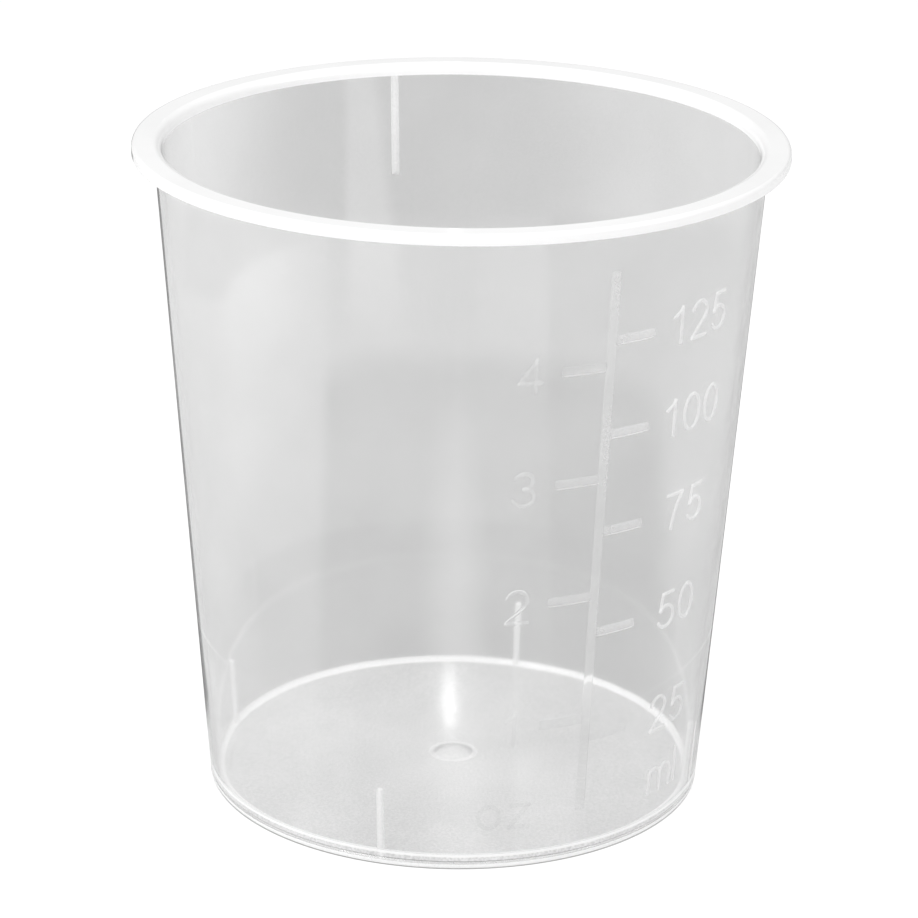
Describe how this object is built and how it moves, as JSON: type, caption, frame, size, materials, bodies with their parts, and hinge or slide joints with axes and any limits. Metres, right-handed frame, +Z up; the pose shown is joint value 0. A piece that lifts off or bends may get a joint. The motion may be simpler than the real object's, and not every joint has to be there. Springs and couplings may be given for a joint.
{
  "type": "specimen container",
  "caption": "Tapered open specimen cup of translucent plastic with a flanged rim, short inner ribs and a raised volume scale.",
  "frame": {"origin": "middle of the base, on the surface that the cup stands on", "axes": "+Z up along the cup's axis; the raised scale is on the -Y side, turned 29 degrees towards +X"},
  "size_m": [0.0657, 0.0656, 0.0682],
  "materials": {
    "polypropylene": "translucent natural polypropylene, smooth and faintly hazy"
  },
  "bodies": {
    "root": {"cup": "polypropylene"}
  },
  "joints": []
}
